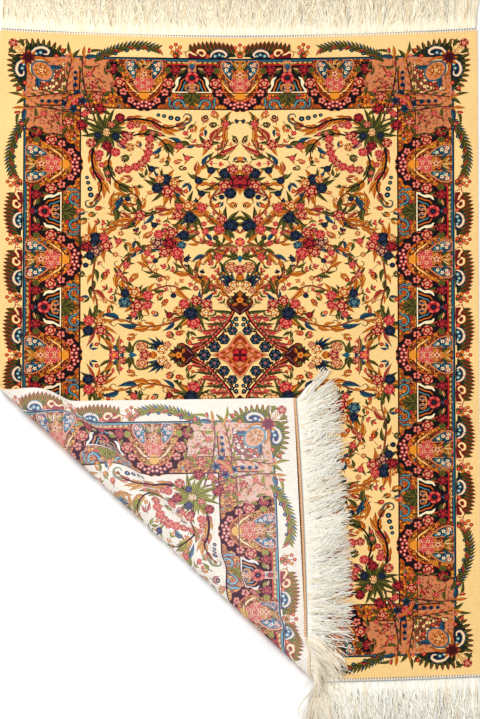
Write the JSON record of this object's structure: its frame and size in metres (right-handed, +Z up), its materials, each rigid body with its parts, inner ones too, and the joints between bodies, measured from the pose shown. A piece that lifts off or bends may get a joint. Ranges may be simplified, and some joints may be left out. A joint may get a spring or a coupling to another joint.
{
  "type": "persian rug",
  "caption": "Rectangular fringed pile rug lying flat, with one corner turned over in a rounded roll so that its back shows.",
  "frame": {"origin": "on the floor, under the middle of the rug's bounding box", "axes": "+Z up from the floor; +Y along the sides, towards the far end; +X to the right, the turned corner being at -X -Y"},
  "size_m": [1.0186, 1.7255, 0.0572],
  "materials": {
    "knotted_wool": "short wool pile, floral in gold, salmon and red",
    "fringe_cotton": "cream cotton warp ends"
  },
  "bodies": {
    "root": {"rug_cloth": "knotted_wool", "fringe_far": "fringe_cotton", "fringe_near": "fringe_cotton", "fringe_flap": "fringe_cotton"}
  },
  "joints": []
}
